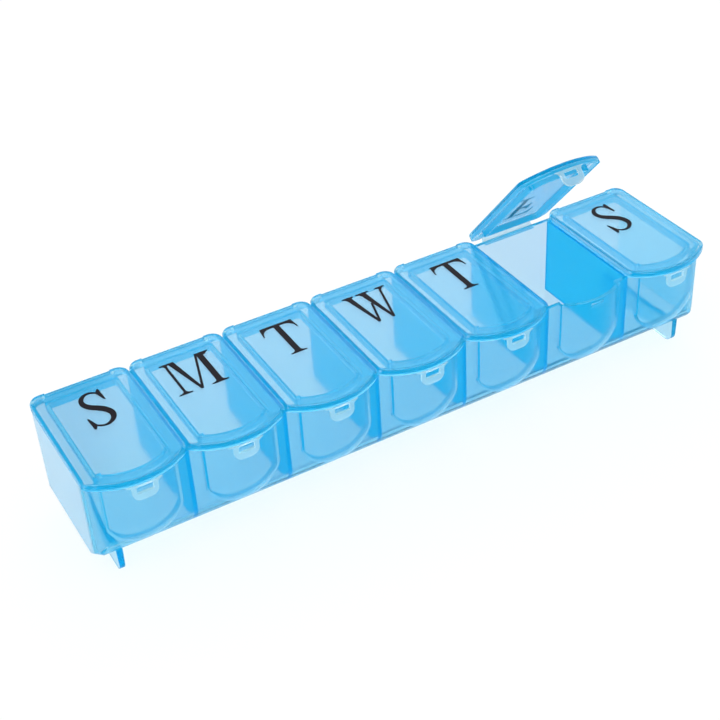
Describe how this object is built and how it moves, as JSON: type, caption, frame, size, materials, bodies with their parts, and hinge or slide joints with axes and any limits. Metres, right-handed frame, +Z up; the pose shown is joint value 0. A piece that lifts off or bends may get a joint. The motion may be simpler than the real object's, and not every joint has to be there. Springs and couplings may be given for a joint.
{
  "type": "weekly pill organizer",
  "caption": "Long translucent plastic pill box with a row of round-fronted compartments, each under its own hinged lid with a front latch tab.",
  "frame": {"origin": "centre of the bounding box's footprint, on the surface that the feet stand on", "axes": "+X along the row of days from the first lid to the seventh, -Y to the front where the latch tabs are, +Z up"},
  "size_m": [0.1966, 0.0482, 0.0696],
  "materials": {
    "blue_plastic": "translucent sky-blue polypropylene, lightly glossy",
    "clear_tab": "thin, nearly clear polypropylene",
    "clear_hinge": "thin, nearly clear polypropylene with a whitened crease",
    "black_print": "satin black print"
  },
  "bodies": {
    "tray": {"tray": "blue_plastic", "divider_monday": "blue_plastic", "divider_tuesday": "blue_plastic", "divider_wednesday": "blue_plastic", "divider_thursday": "blue_plastic", "divider_friday": "blue_plastic", "divider_saturday": "blue_plastic", "foot_left": "blue_plastic", "foot_right": "blue_plastic", "hinge_tray_leaf_sunday": "clear_hinge", "hinge_tray_leaf_monday": "clear_hinge", "hinge_tray_leaf_tuesday": "clear_hinge", "hinge_tray_leaf_wednesday": "clear_hinge", "hinge_tray_leaf_thursday": "clear_hinge", "hinge_tray_leaf_friday": "clear_hinge", "hinge_tray_leaf_saturday": "clear_hinge", "catch_nub_sunday": "blue_plastic", "catch_nub_monday": "blue_plastic", "catch_nub_tuesday": "blue_plastic", "catch_nub_wednesday": "blue_plastic", "catch_nub_thursday": "blue_plastic", "catch_nub_friday": "blue_plastic", "catch_nub_saturday": "blue_plastic"},
    "lid_sunday": {"lid_sunday": "blue_plastic", "hinge_lid_leaf_sunday": "clear_hinge", "letter_sunday": "black_print"},
    "lid_monday": {"lid_monday": "blue_plastic", "hinge_lid_leaf_monday": "clear_hinge", "letter_monday": "black_print"},
    "lid_tuesday": {"lid_tuesday": "blue_plastic", "hinge_lid_leaf_tuesday": "clear_hinge", "letter_tuesday": "black_print"},
    "lid_wednesday": {"lid_wednesday": "blue_plastic", "hinge_lid_leaf_wednesday": "clear_hinge", "letter_wednesday": "black_print"},
    "lid_thursday": {"lid_thursday": "blue_plastic", "hinge_lid_leaf_thursday": "clear_hinge", "letter_thursday": "black_print"},
    "lid_friday": {"lid_friday": "blue_plastic", "hinge_lid_leaf_friday": "clear_hinge", "letter_friday": "black_print"},
    "lid_saturday": {"lid_saturday": "blue_plastic", "hinge_lid_leaf_saturday": "clear_hinge", "letter_saturday": "black_print"},
    "tab_sunday": {"latch_tab_sunday": "clear_tab"},
    "tab_monday": {"latch_tab_monday": "clear_tab"},
    "tab_tuesday": {"latch_tab_tuesday": "clear_tab"},
    "tab_wednesday": {"latch_tab_wednesday": "clear_tab"},
    "tab_thursday": {"latch_tab_thursday": "clear_tab"},
    "tab_friday": {"latch_tab_friday": "clear_tab"},
    "tab_saturday": {"latch_tab_saturday": "clear_tab"}
  },
  "joints": [
    {"name": "lid_hinge_sunday", "type": "hinge", "parent": "tray", "child": "lid_sunday", "pos_m": [-0.084, 0.02252, 0.0326], "axis": [-1, 0, 0], "range_deg": [0, 180]},
    {"name": "lid_hinge_monday", "type": "hinge", "parent": "tray", "child": "lid_monday", "pos_m": [-0.056, 0.02252, 0.0326], "axis": [-1, 0, 0], "range_deg": [0, 180]},
    {"name": "lid_hinge_tuesday", "type": "hinge", "parent": "tray", "child": "lid_tuesday", "pos_m": [-0.028, 0.02252, 0.0326], "axis": [-1, 0, 0], "range_deg": [0, 180]},
    {"name": "lid_hinge_wednesday", "type": "hinge", "parent": "tray", "child": "lid_wednesday", "pos_m": [0, 0.02252, 0.0326], "axis": [-1, 0, 0], "range_deg": [0, 180]},
    {"name": "lid_hinge_thursday", "type": "hinge", "parent": "tray", "child": "lid_thursday", "pos_m": [0.028, 0.02252, 0.0326], "axis": [-1, 0, 0], "range_deg": [0, 180]},
    {"name": "lid_hinge_friday", "type": "hinge", "parent": "tray", "child": "lid_friday", "pos_m": [0.056, 0.02252, 0.0326], "axis": [-1, 0, 0], "range_deg": [-49.7, 130.3]},
    {"name": "lid_hinge_saturday", "type": "hinge", "parent": "tray", "child": "lid_saturday", "pos_m": [0.084, 0.02252, 0.0326], "axis": [-1, 0, 0], "range_deg": [0, 180]},
    {"name": "tab_flex_sunday", "type": "hinge", "parent": "lid_sunday", "child": "tab_sunday", "pos_m": [-0.084, -0.02368, 0.03308], "axis": [-1, 0, 0], "range_deg": [0, 8], "stiffness_Nm_per_rad": 0.02},
    {"name": "tab_flex_monday", "type": "hinge", "parent": "lid_monday", "child": "tab_monday", "pos_m": [-0.056, -0.02368, 0.03308], "axis": [-1, 0, 0], "range_deg": [0, 8], "stiffness_Nm_per_rad": 0.02},
    {"name": "tab_flex_tuesday", "type": "hinge", "parent": "lid_tuesday", "child": "tab_tuesday", "pos_m": [-0.028, -0.02368, 0.03308], "axis": [-1, 0, 0], "range_deg": [0, 8], "stiffness_Nm_per_rad": 0.02},
    {"name": "tab_flex_wednesday", "type": "hinge", "parent": "lid_wednesday", "child": "tab_wednesday", "pos_m": [0, -0.02368, 0.03308], "axis": [-1, 0, 0], "range_deg": [0, 8], "stiffness_Nm_per_rad": 0.02},
    {"name": "tab_flex_thursday", "type": "hinge", "parent": "lid_thursday", "child": "tab_thursday", "pos_m": [0.028, -0.02368, 0.03308], "axis": [-1, 0, 0], "range_deg": [0, 8], "stiffness_Nm_per_rad": 0.02},
    {"name": "tab_flex_friday", "type": "hinge", "parent": "lid_friday", "child": "tab_friday", "pos_m": [0.056, -0.00699, 0.06815], "axis": [-1, 0, 0], "range_deg": [0, 8], "stiffness_Nm_per_rad": 0.02},
    {"name": "tab_flex_saturday", "type": "hinge", "parent": "lid_saturday", "child": "tab_saturday", "pos_m": [0.084, -0.02368, 0.03308], "axis": [-1, 0, 0], "range_deg": [0, 8], "stiffness_Nm_per_rad": 0.02}
  ]
}
